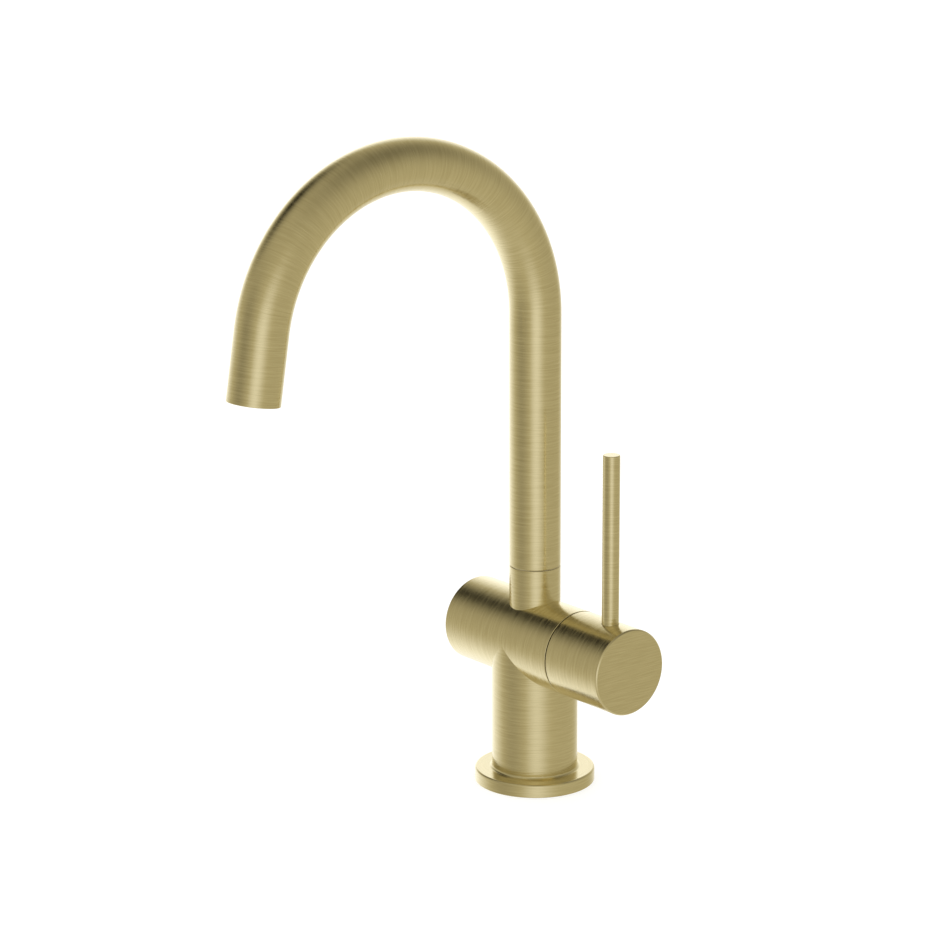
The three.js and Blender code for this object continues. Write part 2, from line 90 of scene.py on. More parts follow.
# ---- Node benches: sums on sockets, and one way to add any other node ----
class Wire:
    """One output of a node. Sums written with it become Math nodes."""

    def __init__(self, bench, socket):
        self.bench, self.socket = bench, socket

    def sum_node(self, operation, a, b=0.0):
        return self.bench.add("ShaderNodeMath", {"operation": operation}, {0: a, 1: b})[0]

    def __add__(self, other):
        return self.sum_node("ADD", self, other)

    def __radd__(self, other):
        return self.sum_node("ADD", other, self)

    def __sub__(self, other):
        return self.sum_node("SUBTRACT", self, other)

    def __rsub__(self, other):
        return self.sum_node("SUBTRACT", other, self)

    def __mul__(self, other):
        return self.sum_node("MULTIPLY", self, other)

    def __rmul__(self, other):
        return self.sum_node("MULTIPLY", other, self)

    def __truediv__(self, other):
        return self.sum_node("DIVIDE", self, other)

    def cos(self):
        return self.sum_node("COSINE", self)

    def sin(self):
        return self.sum_node("SINE", self)

    def exp(self):
        return self.sum_node("EXPONENT", self)

    def at_least(self, low):
        return self.sum_node("MAXIMUM", self, low)

    def at_most(self, high):
        return self.sum_node("MINIMUM", self, high)


class Outputs:
    """The outputs of one added node, by name or number."""

    def __init__(self, bench, node):
        self.bench, self.node = bench, node

    def __getitem__(self, key):
        return Wire(self.bench, self.node.outputs[key])


class Bench:
    """A node tree being wired."""

    def __init__(self, tree):
        self.tree = tree

    def add(self, kind, settings=None, inputs=None):
        node = self.tree.nodes.new(kind)
        for name, value in (settings or {}).items():
            if name == "stops":
                self.set_stops(node.color_ramp, value)
            else:
                setattr(node, name, value)
        for key, value in (inputs or {}).items():
            for one in value if isinstance(value, list) else [value]:
                if isinstance(one, Wire):
                    self.tree.links.new(one.socket, node.inputs[key])
                else:
                    node.inputs[key].default_value = one
        return Outputs(self, node)

    @staticmethod
    def set_stops(ramp, stops):
        while len(ramp.elements) < len(stops):
            ramp.elements.new(1.0)
        for element, (place, colour) in zip(ramp.elements, stops):
            element.position = place
            element.color = (*colour, 1.0)

    def noise(self, place, scale, detail=2.0, roughness=0.5):
        return self.add("ShaderNodeTexNoise", {"noise_dimensions": "3D"}, {
            "Vector": place, "Scale": scale, "Detail": detail, "Roughness": roughness,
        })["Fac"]

    def stretch(self, place, scale):
        return self.add("ShaderNodeVectorMath", {"operation": "MULTIPLY"}, {0: place, 1: scale})[0]

    def ease(self, value, low, high, out_low=0.0, out_high=1.0):
        return self.add("ShaderNodeMapRange", {"interpolation_type": "SMOOTHSTEP"}, {
            "Value": value, "From Min": low, "From Max": high, "To Min": out_low, "To Max": out_high,
        })["Result"]

    def tint(self, share, a, b):
        a, b = ((*colour, 1.0) if isinstance(colour, tuple) else colour for colour in (a, b))
        return self.add("ShaderNodeMix", {"data_type": "RGBA"}, {0: share, 6: a, 7: b})[2]


# ---- Studio: even pale surroundings for the eye, a few soft screens for the metal to mirror ----
SCREENS = [  # what hangs there, direction in degrees (round, up), sharpness, brightness
    ("dark cloth above, on the left", -170, 40, 12, -0.5),
    ("dark cloth overhead", 60, 60, 3, -0.3),
    ("light wall behind, on the left", 145, 10, 6, 0.4),
    ("lit floor paper behind", 170, -40, 4, 0.3),
    ("grey flag at the front, on the left", -105, 0, 6, -0.2),
    ("soft strip at the front, on the right", -35, -5, 10, 0.2),
]
SCREEN_LEVEL = 0.5  # brightness where no screen hangs
SCREEN_TOP = 1.5  # brightest value of the ramp below
SCREEN_STOPS = [  # brightness, and its colour of light: black cloth, warm grey wall, white paper
    (0.0, (0.0, 0.0, 0.0)),
    (0.5, (0.5, 0.45, 0.3)),
    (1.5, (1.5, 1.5, 1.5)),
]
PALE = (0.97, 0.97, 0.96)
SUN_ENERGY, SUN_SPREAD, SUN_TILT = 0.4, 80, (18, 14, 0)  # spread and tilt in degrees
FLOOR_HALF = 8.0
FLOOR_DROP = 0.0001  # just clear of the tap's underside
FLOOR_SHADES = (0.40, 0.40, 0.40), (0.43, 0.43, 0.43)
FLOOR_GLOW = 0.70


def set_studio():
    scene = bpy.context.scene
    scene.view_settings.view_transform = "Standard"
    world = bpy.data.worlds.new("studio")
    scene.world = world
    world.use_nodes = True
    world.cycles.sampling_method = "NONE"
    world.node_tree.nodes.clear()
    bench = Bench(world.node_tree)
    direction = bench.add("ShaderNodeTexCoord")["Generated"]
    light = SCREEN_LEVEL
    for _, round_deg, up_deg, sharpness, brightness in SCREENS:
        a, e = math.radians(round_deg), math.radians(up_deg)
        middle = (math.cos(e) * math.cos(a), math.cos(e) * math.sin(a), math.sin(e))
        facing = bench.add("ShaderNodeVectorMath", {"operation": "DOT_PRODUCT"}, {
            0: direction, 1: middle,
        })["Value"]
        light = light + ((facing - 1.0) * sharpness).exp() * brightness
    stops = [(b, tuple(c / SCREEN_TOP for c in colour)) for b, colour in SCREEN_STOPS]
    graded = bench.add("ShaderNodeValToRGB", {"stops": stops}, {"Fac": light})["Color"]
    path = bench.add("ShaderNodeLightPath")
    screens = bench.add("ShaderNodeBackground", None, {"Color": graded, "Strength": SCREEN_TOP})[0]
    plain = bench.add("ShaderNodeBackground", None, {"Color": (*PALE, 1.0), "Strength": 1.0})[0]
    both = bench.add("ShaderNodeMixShader", None, {0: path["Is Glossy Ray"], 1: plain, 2: screens})[0]
    bench.add("ShaderNodeOutputWorld", None, {"Surface": both})

    sun = bpy.data.lights.new("soft_overhead_light", "SUN")
    sun.energy = SUN_ENERGY
    sun.angle = math.radians(SUN_SPREAD)
    lamp = bpy.data.objects.new("soft_overhead_light", sun)
    lamp.rotation_euler = [math.radians(turn) for turn in SUN_TILT]
    lamp.visible_glossy = False
    scene.collection.objects.link(lamp)

    mesh = bpy.data.meshes.new("studio_floor")
    h, z = FLOOR_HALF, -FLOOR_DROP
    mesh.from_pydata([(-h, -h, z), (h, -h, z), (h, h, z), (-h, h, z)], [], [(0, 1, 2, 3)])
    floor = bpy.data.objects.new("studio_floor", mesh)
    floor.visible_glossy = False
    scene.collection.objects.link(floor)
    material = bpy.data.materials.new("pale_floor")
    material.use_nodes = True
    material.node_tree.nodes.clear()
    bench = Bench(material.node_tree)
    place = bench.add("ShaderNodeTexCoord")["Object"]
    cloud = bench.noise(place, 6.0, 3.0)
    shade = bench.tint(cloud, *FLOOR_SHADES)
    surface = bench.add("ShaderNodeBsdfPrincipled", None, {
        "Base Color": shade, "Roughness": 0.7, "Emission Color": (1.0, 1.0, 0.99, 1.0),
        "Emission Strength": FLOOR_GLOW,
    })[0]
    bench.add("ShaderNodeOutputMaterial", None, {"Surface": surface})
    mesh.materials.append(material)


set_studio()


# ---- Finishes ----
def finish(name, make):
    material = bpy.data.materials.new(name)
    material.use_nodes = True
    material.node_tree.nodes.clear()
    bench = Bench(material.node_tree)
    sockets = make(bench)
    surface = bench.add("ShaderNodeBsdfPrincipled", None, sockets)[0]
    bench.add("ShaderNodeOutputMaterial", None, {"Surface": surface})
    return material


def brushed_brass(bench):
    """Satin brass brushed round the piece: grain holds the slow way in x and y, the fast way in z."""
    grain = bench.add("ShaderNodeAttribute", {"attribute_name": "grain"})["Vector"]
    # The 'edge' attribute marks rounded and chamfered edge strips. The brass is painted lighter there: partly
    # edge wear, partly a painted highlight along the edges.
    edge_wear_and_sheen = bench.add("ShaderNodeAttribute", {"attribute_name": "edge"})["Fac"]
    lines = bench.noise(bench.stretch(grain, (60, 60, 1350)), 1.0, 2.0, 0.6)
    hairs = bench.noise(bench.stretch(grain, (110, 110, 3000)), 1.0, 1.0, 0.5)
    patches = bench.noise(bench.stretch(grain, (28, 28, 34)), 1.0, 2.0, 0.5)
    streak = lines * 0.65 + hairs * 0.35
    colour = bench.tint(bench.ease(streak, 0.3, 0.7), (0.772, 0.697, 0.452), (0.880, 0.805, 0.548))
    # Lighter brass on the edge strips: edge wear plus a painted edge highlight.
    colour = bench.tint(edge_wear_and_sheen * 0.35, colour, (0.90, 0.83, 0.59))
    rough = bench.ease(streak, 0.3, 0.7, 0.15, 0.27) + (patches - 0.5) * 0.04
    bump = bench.add("ShaderNodeBump", None, {
        "Strength": 1.0, "Distance": 0.00007, "Height": streak,
    })["Normal"]
    return {"Base Color": colour, "Metallic": 1.0, "Roughness": rough, "Normal": bump}


def turned_metal(dark, light, rough, pitch):
    """Machined metal with fine tool marks and a little tarnish."""
    def make(bench):
        place = bench.add("ShaderNodeTexCoord")["Object"]
        marks = bench.noise(bench.stretch(place, (pitch / 8, pitch / 8, pitch)), 1.0, 2.0)
        tarnish = bench.noise(place, 160.0, 4.0, 0.6)
        colour = bench.tint(bench.ease(tarnish, 0.35, 0.7), dark, light)
        bump = bench.add("ShaderNodeBump", None, {
            "Strength": 0.35, "Distance": 0.00002, "Height": marks,
        })["Normal"]
        return {
            "Base Color": colour, "Metallic": 1.0, "Normal": bump,
            "Roughness": rough + (tarnish - 0.5) * 0.18 + (marks - 0.5) * 0.08,
        }
    return make


def moulded(dark, light, rough, grit, depth, shine=0.5):
    """Moulded rubber, plastic or fired ceramic: fine grit, soft cloudiness."""
    def make(bench):
        place = bench.add("ShaderNodeTexCoord")["Object"]
        cloud = bench.noise(place, 90.0, 3.0)
        grain = bench.noise(place, grit, 2.0, 0.6)
        colour = bench.tint(bench.ease(cloud * 0.6 + grain * 0.4, 0.3, 0.7), dark, light)
        bump = bench.add("ShaderNodeBump", None, {
            "Strength": 0.4, "Distance": depth, "Height": grain,
        })["Normal"]
        return {
            "Base Color": colour, "Roughness": rough + (cloud - 0.5) * 0.12, "Normal": bump,
            "Specular IOR Level": shine,
        }
    return make


MAKERS = {
    "brushed_brass": brushed_brass,
    "raw_brass": turned_metal((0.50, 0.35, 0.12), (0.72, 0.55, 0.24), 0.34, 5200),
    "steel": turned_metal((0.42, 0.42, 0.43), (0.60, 0.60, 0.61), 0.32, 5200),
    "rubber": moulded((0.010, 0.010, 0.010), (0.022, 0.022, 0.021), 0.78, 2600, 0.00003),
    "white_plastic": moulded((0.72, 0.71, 0.67), (0.82, 0.81, 0.77), 0.42, 1800, 0.00001),
    "dark_plastic": moulded((0.045, 0.032, 0.013), (0.070, 0.052, 0.024), 0.55, 1800, 0.00001, 0.15),
    "bronze_plastic": moulded((0.330, 0.275, 0.155), (0.400, 0.335, 0.195), 0.50, 1800, 0.00001, 0.15),
    "ceramic": moulded((0.80, 0.78, 0.74), (0.90, 0.89, 0.86), 0.16, 3200, 0.000004),
}
FINISHES = {name: finish(name, make) for name, make in MAKERS.items()}
SLOT_OF = {
    part["node"]: part["material_slot"]
    for part in frame["record"]["subparts"]
    if "material_slot" in part and "node" in part
}


# ---- Turned and carved shapes ----
UPRIGHT = Matrix.Identity(4)
SMOOTH_JOIN = math.cos(math.radians(34))  # profile corners flatter than this shade as one surface
ON_SURFACE = 0.00003
PAST_END = 0.02  # share of a strip's length that a point may lie past its ends
LEAST_AGREEMENT = 0.6  # a face turned further than this from the true normal keeps its own
STRAIGHT_SHIFT = 0.3  # keeps straight brushing clear of the axis
EDGE_STRIP = 0.0009  # strips of profile shorter than this are rounded or chamfered edges


class Turning:
    """A profile of (radius, height) pairs in mm, turned about a placed Z axis."""

    def __init__(self, profile, place=UPRIGHT, sides=128, straight=None):
        self.points = np.array(profile, float) * MM
        self.place, self.sides, self.straight = place, sides, straight
        closed = np.allclose(self.points[0], self.points[-1])
        steps = np.diff(self.points, axis=0)
        lengths = np.linalg.norm(steps, axis=1)
        self.along = np.concatenate([[0.0], np.cumsum(lengths)])
        across = np.stack([steps[:, 1], -steps[:, 0]], 1) / lengths[:, None]
        self.ends = []
        count = len(across)
        for i in range(count):
            pair = []
            for other in (i - 1, i + 1):
                if closed:
                    other %= count
                n = across[i]
                if 0 <= other < count and across[i] @ across[other] > SMOOTH_JOIN:
                    n = across[i] * lengths[i] ** 2 + across[other] * lengths[other] ** 2
                    n = n / np.linalg.norm(n)
                pair.append(n)
            self.ends.append(pair)
        self.closed = closed

    def solid(self):
        """The closed shell as a bmesh."""
        shell = bmesh.new()
        points = self.points[:-1] if self.closed else self.points
        rings = []
        for r, h in points:
            if r < 1e-9:
                rings.append([shell.verts.new(self.place @ Vector((0, 0, h)))] * self.sides)
                continue
            rings.append([
                shell.verts.new(self.place @ Vector((
                    r * math.cos(2 * math.pi * i / self.sides),
                    r * math.sin(2 * math.pi * i / self.sides),
                    h,
                )))
                for i in range(self.sides)
            ])
        spans = list(zip(rings, rings[1:] + rings[:1])) if self.closed else list(zip(rings, rings[1:]))
        for low, high in spans:
            for i in range(self.sides):
                j = (i + 1) % self.sides
                corners = []
                for v in (low[i], low[j], high[j], high[i]):
                    if v not in corners:
                        corners.append(v)
                if len(corners) > 2:
                    shell.faces.new(corners)
        bmesh.ops.recalc_face_normals(shell, faces=shell.faces)
        return shell

    def read(self, points):
        """Radius, height and outward directions of points, in the turning's own axes."""
        back = self.place.inverted()
        local = points @ np.array(back.to_3x3()).T + np.array(back.translation)
        radius = np.hypot(local[:, 0], local[:, 1])
        out = local[:, :2] / np.maximum(radius, 1e-9)[:, None]
        return local, radius, out


def as_object(name, shell):
    mesh = bpy.data.meshes.new(name)
    shell.to_mesh(mesh)
    shell.free()
    piece = bpy.data.objects.new(name, mesh)
    bpy.context.scene.collection.objects.link(piece)
    return piece


def settled(piece):
    """Applies the modifiers and leaves a plain mesh."""
    graph = bpy.context.evaluated_depsgraph_get()
    mesh = bpy.data.meshes.new_from_object(piece.evaluated_get(graph), depsgraph=graph)
    old = piece.data
    piece.modifiers.clear()
    piece.data = mesh
    bpy.data.meshes.remove(old)
    mesh.name = piece.name
    return piece


def carve(piece, added=(), removed=()):
    """Joins and cuts other shells into a piece, exactly."""
    tools = []
    for operation, shells in (("UNION", added), ("DIFFERENCE", removed)):
        for shell in shells:
            tool = as_object("tool", shell)
            tools.append(tool)
            step = piece.modifiers.new("carve", "BOOLEAN")
            step.operation, step.solver, step.object = operation, "EXACT", tool
    settled(piece)
    for tool in tools:
        mesh = tool.data
        bpy.data.objects.remove(tool)
        bpy.data.meshes.remove(mesh)
    return piece


def true_round(piece, turnings):
    """Gives each face the exact normals of the turned surface it lies on, and the grain that follows it."""
    mesh = piece.data
    mesh.shade_smooth()
    co = np.zeros(len(mesh.vertices) * 3)
    mesh.vertices.foreach_get("co", co)
    co = co.reshape(-1, 3)
    corner = np.zeros(len(mesh.loops), int)
    mesh.loops.foreach_get("vertex_index", corner)
    first = np.zeros(len(mesh.polygons), int)
    mesh.polygons.foreach_get("loop_start", first)
    size = np.zeros(len(mesh.polygons), int)
    mesh.polygons.foreach_get("loop_total", size)
    flat = np.zeros(len(mesh.polygons) * 3)
    mesh.polygons.foreach_get("normal", flat)
    flat = flat.reshape(-1, 3)
    owner = np.repeat(np.arange(len(mesh.polygons)), size)
    normal = flat[owner].copy()
    grain = co[corner].copy()
    edge = np.zeros(len(corner))
    best = np.full(len(mesh.polygons), LEAST_AGREEMENT)
    for turning in turnings:
        local, radius, out = turning.read(co)
        spin = np.array(turning.place.to_3x3())
        for k, (n0, n1) in enumerate(turning.ends):
            p0, p1 = turning.points[k], turning.points[k + 1]
            step = p1 - p0
            length = np.linalg.norm(step)
            rel = np.stack([radius, local[:, 2]], 1) - p0
            t = rel @ step / length ** 2
            off = np.abs(rel @ np.array([step[1], -step[0]]) / length)
            slack = PAST_END + ON_SURFACE / length
            near = (off < ON_SURFACE) & (t > -slack) & (t < 1 + slack)
            inside = np.logical_and.reduceat(near[corner], first)
            if not inside.any():
                continue
            tt = np.clip(t, 0, 1)[:, None]
            n2 = n0 * (1 - tt) + n1 * tt
            n2 /= np.linalg.norm(n2, axis=1)[:, None]
            n3 = np.concatenate([n2[:, :1] * out, n2[:, 1:]], 1) @ spin.T
            middle = np.add.reduceat(n3[corner], first) / size[:, None]
            agree = (middle * flat).sum(1)
            chosen = inside & (np.abs(agree) > best)
            best[chosen] = np.abs(agree)[chosen]
            use = chosen[owner]
            normal[use] = n3[corner][use] * np.sign(agree)[owner][use][:, None]
            if turning.straight is not None and k in turning.straight:
                lined = np.stack([local[:, 1], np.zeros(len(co)), local[:, 0] + STRAIGHT_SHIFT], 1)
            else:
                lined = np.concatenate([local[:, :2], (turning.along[k] + t * length)[:, None]], 1)
            grain[use] = lined[corner][use]
            # Edge strips are painted lighter in the brushed brass: a painted highlight along with edge wear.
            edge[use] = 1.0 if length < EDGE_STRIP else 0.0
    mesh.normals_split_custom_set(normal.tolist())
    mesh.attributes.new("grain", "FLOAT_VECTOR", "CORNER").data.foreach_set(
        "vector", grain.astype(np.float32).ravel())
    mesh.attributes.new("edge", "FLOAT", "CORNER").data.foreach_set("value", edge.astype(np.float32))
    return piece


def place_piece(piece, look, body, *stands_for):
    piece.data.materials.clear()
    piece.data.materials.append(FINISHES[look])
    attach(piece, body)
    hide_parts(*stands_for)
    return piece


def turned_piece(name, profile, look, body, *stands_for, place=UPRIGHT, sides=128, straight=None):
    turning = Turning(profile, place, sides, straight)
    piece = true_round(as_object(name, turning.solid()), [turning])
    return place_piece(piece, look, body, *stands_for)


def arc(cx, cy, r, start, stop, steps=6):
    """Points of a profile's rounding, from start to stop degrees."""
    return [
        (cx + r * math.cos(math.radians(start + (stop - start) * i / steps)),
         cy + r * math.sin(math.radians(start + (stop - start) * i / steps)))
        for i in range(steps + 1)
    ]


def rod(r, low, high):
    return [(0, low), (r, low), (r, high), (0, high)]


def tube(outer, inner, low, high):
    return [(inner, low), (outer, low), (outer, high), (inner, high), (inner, low)]


def eased_tube(outer, inner, low, high, edge, steps=3):
    """A ring with its four edges rounded."""
    ring = [
        *arc(outer - edge, low + edge, edge, 270, 360, steps),
        *arc(outer - edge, high - edge, edge, 0, 90, steps),
        *arc(inner + edge, high - edge, edge, 90, 180, steps),
        *arc(inner + edge, low + edge, edge, 180, 270, steps),
    ]
    return ring + ring[:1]


def round_ring(mean, section, height, steps=24):
    ring = arc(mean, height, section, 0, 360, steps)
    return ring[:-1] + ring[:1]


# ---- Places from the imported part, in mm ----
def mm_box(node):
    low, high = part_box(node)
    return low / MM, high / MM


knob_low, knob_high = mm_box("handle_knob")
pin_low, pin_high = mm_box("handle_pin")
body_low, body_high = mm_box("body")
spout_low, spout_high = mm_box("spout_tube")
grub_low, grub_high = mm_box("handle_grub_screw")
screw_low, screw_high = mm_box("spout_retaining_screw")
stud_low, stud_high = mm_box("fixing_stud")
seal_low, seal_high = mm_box("cartridge_seal_cold")

AXIS_Z = (knob_low.z + knob_high.z) / 2
COLUMN_R = (knob_high.y - knob_low.y) / 2
ARM_R = COLUMN_R
ARM_LEFT = body_low.x
KNOB_FROM, KNOB_END = knob_low.x, knob_high.x
SEAM = 0.7
ARM_RIGHT = KNOB_FROM - SEAM
EDGE = 0.35
FLANGE_R = body_high.y
FLANGE_T, FLANGE_EDGE, COVE = 6.6, 1.0, 1.4
SPOUT_R = spout_high.x
STUB_TOP = body_high.z
SPOUT_LOW = spout_low.z
PIN_X = (pin_low.x + pin_high.x) / 2
PIN_R = (pin_high.x - pin_low.x) / 2
PIN_TOP = pin_high.z
PIN_FOOT = AXIS_Z + ARM_R - 2
inlet = next(m for m in frame["record"]["mounts"] if m["name"] == "inlet_hot")
INLET_X = inlet["pos_m"][0] / MM
INLET_Y = -(seal_low.y + seal_high.y) / 2
INLET_R, SOCKET_R, SOCKET_DEPTH = 3.5, 5.0, 12.0
CHAMBER_R = ARM_R - 3.4
CHAMBER_FLOOR = -6.0
NIPPLE_BORE_R = SPOUT_R - 3.5
NIPPLE_BORE_Z = AXIS_Z + CHAMBER_R + 3
STUD_X = (stud_low.x + stud_high.x) / 2
STUD_R = (stud_high.x - stud_low.x) / 2
SCREW_Z = (screw_low.z + screw_high.z) / 2
GRUB_X = (grub_low.x + grub_high.x) / 2
GASKET_R, GASKET_SECTION = FLANGE_R - 5, 1.5
FIT, RUN = 0.15, 0.3
SLIDE_SEAT_R = ARM_R - 1.4
SLIDE_SEAT_X = ARM_RIGHT - 1.2
PLUG_SEAT_R, PLUG_T, LEFT_BORE_R = ARM_R - 3, 3.4, ARM_R - 4.5
LEFT_BORE_END = INLET_X - INLET_R - 2.5

ON_ARM = Matrix.Translation((0, 0, AXIS_Z * MM)) @ Matrix.Rotation(math.pi / 2, 4, "Y")


def upright_at(x, y):
    return Matrix.Translation((x * MM, y * MM, 0))


def on_arm_at(y, z):
    return Matrix.Translation((0, y * MM, z * MM)) @ ON_ARM


BACKWARD = Matrix.Translation((0, 0, SCREW_Z * MM)) @ Matrix.Rotation(-math.pi / 2, 4, "X")


# ---- Body casting ----
def make_body():
    column = Turning([
        (0, 0), (FLANGE_R - EDGE, 0), *arc(FLANGE_R - EDGE, EDGE, EDGE, 270, 360, 3)[1:],
        *arc(FLANGE_R - FLANGE_EDGE, FLANGE_T - FLANGE_EDGE, FLANGE_EDGE, 0, 90),
        *arc(COLUMN_R + COVE, FLANGE_T + COVE, COVE, 270, 180, 8),
        (COLUMN_R, AXIS_Z), (0, AXIS_Z),
    ])
    arm = Turning([
        (0, ARM_LEFT), *arc(ARM_R - EDGE, ARM_LEFT + EDGE, EDGE, 270, 360, 4),
        *arc(ARM_R - EDGE, ARM_RIGHT - EDGE, EDGE, 0, 90, 4), (0, ARM_RIGHT),
    ], ON_ARM)
    stub = Turning([
        (0, AXIS_Z), (SPOUT_R, AXIS_Z), *arc(SPOUT_R - EDGE, STUB_TOP - EDGE, EDGE, 0, 90, 4), (0, STUB_TOP),
    ])
    ways = []
    for side in (-1, 1):
        y = side * INLET_Y
        ways += [
            Turning(rod(INLET_R, SOCKET_DEPTH - 1, AXIS_Z + INLET_R), upright_at(INLET_X, y), 40),
            Turning(rod(SOCKET_R, -1, SOCKET_DEPTH), upright_at(INLET_X, y), 48),
            Turning(rod(INLET_R - 0.2, INLET_X, CHAMBER_FLOOR + 1), on_arm_at(y, 0), 40),
        ]
    bores = ways + [
        Turning(rod(CHAMBER_R, CHAMBER_FLOOR, ARM_RIGHT + 1), ON_ARM),
        Turning(rod(SLIDE_SEAT_R, SLIDE_SEAT_X, ARM_RIGHT + 1), ON_ARM),
        Turning(rod(LEFT_BORE_R, ARM_LEFT - 1, LEFT_BORE_END), ON_ARM),
        Turning(rod(PLUG_SEAT_R, ARM_LEFT - 1, ARM_LEFT + PLUG_T), ON_ARM),
        Turning(rod(NIPPLE_BORE_R, NIPPLE_BORE_Z, STUB_TOP + 1), UPRIGHT, 96),
        Turning(rod(4, AXIS_Z + CHAMBER_R - 3, NIPPLE_BORE_Z + 1), upright_at(-1, 0), 40),
        Turning(rod(STUD_R + FIT, -1, 15), upright_at(STUD_X, 0), 40),
        Turning(tube(
            GASKET_R + GASKET_SECTION + FIT, GASKET_R - GASKET_SECTION - FIT, -1, 2 * GASKET_SECTION,
        )),
        Turning(rod(1.5 + FIT, NIPPLE_BORE_R - 2, SPOUT_R + 1), BACKWARD, 32),
    ]
    piece = as_object("tap_body", column.solid())
    carve(piece, [arm.solid(), stub.solid()], [bore.solid() for bore in bores])
    true_round(piece, [column, arm, stub, *bores])
    place_piece(piece, "brushed_brass", "base", "body")


make_body()

plug_face = ARM_LEFT + 0.1
plug_r = PLUG_SEAT_R - FIT
oring_r, oring_x = LEFT_BORE_R - 1.1, ARM_LEFT + 5.5
turned_piece(
    "arm_plug",
    [
        (0, plug_face), *arc(plug_r - EDGE, plug_face + EDGE, EDGE, 270, 360, 4),
        (plug_r, ARM_LEFT + PLUG_T - 0.1), (LEFT_BORE_R - RUN, ARM_LEFT + PLUG_T - 0.1),
        (LEFT_BORE_R - RUN, oring_x - 1.3), (oring_r - 1, oring_x - 1.3), (oring_r - 1, oring_x + 1.3),
        (LEFT_BORE_R - RUN, oring_x + 1.3), (LEFT_BORE_R - RUN, oring_x + 2.7), (0, oring_x + 2.7),
    ],
    "brushed_brass", "base", "arm_end_plug", place=ON_ARM, straight={0},
)
turned_piece(
    "handle_bearing_ring",
    eased_tube(SLIDE_SEAT_R - FIT, CHAMBER_R - 0.5, SLIDE_SEAT_X + 0.1, KNOB_FROM - 0.2, 0.12),
    "dark_plastic", "base", "handle_slide_ring", place=ON_ARM,
)
turned_piece(
    "spout_bearing_ring",
    eased_tube(SPOUT_R - 0.25, NIPPLE_BORE_R + FIT, STUB_TOP + 0.02, STUB_TOP + 0.3, 0.06),
    "bronze_plastic", "base", "spout_slide_ring", sides=96,
)
turned_piece(
    "foot_gasket", round_ring(GASKET_R, GASKET_SECTION - 0.1, GASKET_SECTION),
    "rubber", "base", "base_gasket",
)


# ---- Handle ----
def make_knob():
    knob_edge, wall, insert_r, boss_r = 0.65, 3.5, 8.0, 11.0
    soft = 0.45  # rounding of the chamfer's own edges
    slack = soft * math.tan(math.radians(22.5))
    boss_from = KNOB_FROM + 9.95
    insert_to = boss_from + 10
    pocket_end = KNOB_END - 5.4
    profile = [
        (0, insert_to), (insert_r + FIT, insert_to), (insert_r + FIT, boss_from), (boss_r, boss_from),
        (boss_r, pocket_end), (ARM_R - wall, pocket_end), (ARM_R - wall, KNOB_FROM),
        *arc(ARM_R - EDGE, KNOB_FROM + EDGE, EDGE, 270, 360, 4),
        *arc(ARM_R - soft, KNOB_END - knob_edge - slack, soft, 0, 45, 3),
        *arc(ARM_R - knob_edge - slack, KNOB_END - soft, soft, 45, 90, 3),
        (0, KNOB_END),
    ]
    shell = Turning(profile, ON_ARM, straight={len(profile) - 2})
    cuts = [
        Turning(rod(PIN_R + FIT, PIN_FOOT, AXIS_Z + ARM_R + 1), upright_at(PIN_X, 0), 64),
        Turning(rod(3 + FIT, pin_low.z - 0.1, PIN_FOOT + 1), upright_at(PIN_X, 0), 48),
        Turning(rod(2 + FIT, AXIS_Z - ARM_R - 1, AXIS_Z - insert_r), upright_at(GRUB_X, 0), 40),
    ]
    piece = as_object("round_knob", shell.solid())
    carve(piece, [], [c.solid() for c in cuts])
    true_round(piece, [shell, *cuts])
    place_piece(piece, "brushed_brass", "handle", "handle_knob")


make_knob()
turned_piece(
    "pin_lever",
    [
        (0, pin_low.z), (3, pin_low.z), (3, PIN_FOOT + 0.1), (PIN_R, PIN_FOOT + 0.1),
        *arc(PIN_R - EDGE, PIN_TOP - EDGE, EDGE, 0, 90, 5), (0, PIN_TOP),
    ],
    "brushed_brass", "handle", "handle_pin", place=upright_at(PIN_X, 0), sides=72,
)


# ---- Spout ----
outlet = next(m for m in frame["record"]["mounts"] if m["name"] == "outlet_face")
outlet_way = -Vector(outlet["axis"])
LEAN = math.atan2(outlet_way.y, outlet_way.z)
ARCH_R, TAIL = 79.8, 32.7
WALL = 1.2
RIM = Vector((0, outlet["pos_m"][1], outlet["pos_m"][2]))
ARCH_Z = RIM.z / MM - ARCH_R * math.sin(LEAN) + TAIL * math.cos(LEAN)


def grown(name, tree, values):
    """An object whose mesh comes from a node tree, with the tree's inputs set, then made plain."""
    piece = bpy.data.objects.new(name, bpy.data.meshes.new(name))
    bpy.context.scene.collection.objects.link(piece)
    step = piece.modifiers.new("grow", "NODES")
    step.node_group = tree
    names = {s.name: s.identifier for s in tree.interface.items_tree if s.in_out == "INPUT"}
    for key, value in values.items():
        step[names[key]] = value
    return settled(piece)


def new_tree(name, sizes, counts=()):
    tree = bpy.data.node_groups.new(name, "GeometryNodeTree")
    for key in sizes:
        tree.interface.new_socket(key, in_out="INPUT", socket_type="NodeSocketFloat")
    for key in counts:
        tree.interface.new_socket(key, in_out="INPUT", socket_type="NodeSocketInt")
    tree.interface.new_socket("Mesh", in_out="OUTPUT", socket_type="NodeSocketGeometry")
    bench = Bench(tree)
    return tree, bench, bench.add("NodeGroupInput")


def close_tree(bench, geometry, material):
    real = bench.add("GeometryNodeRealizeInstances", None, {"Geometry": geometry})["Geometry"]
    done = bench.add("GeometryNodeSetMaterial", None, {"Geometry": real, "Material": material})["Geometry"]
    bench.add("NodeGroupOutput", None, {"Mesh": done})


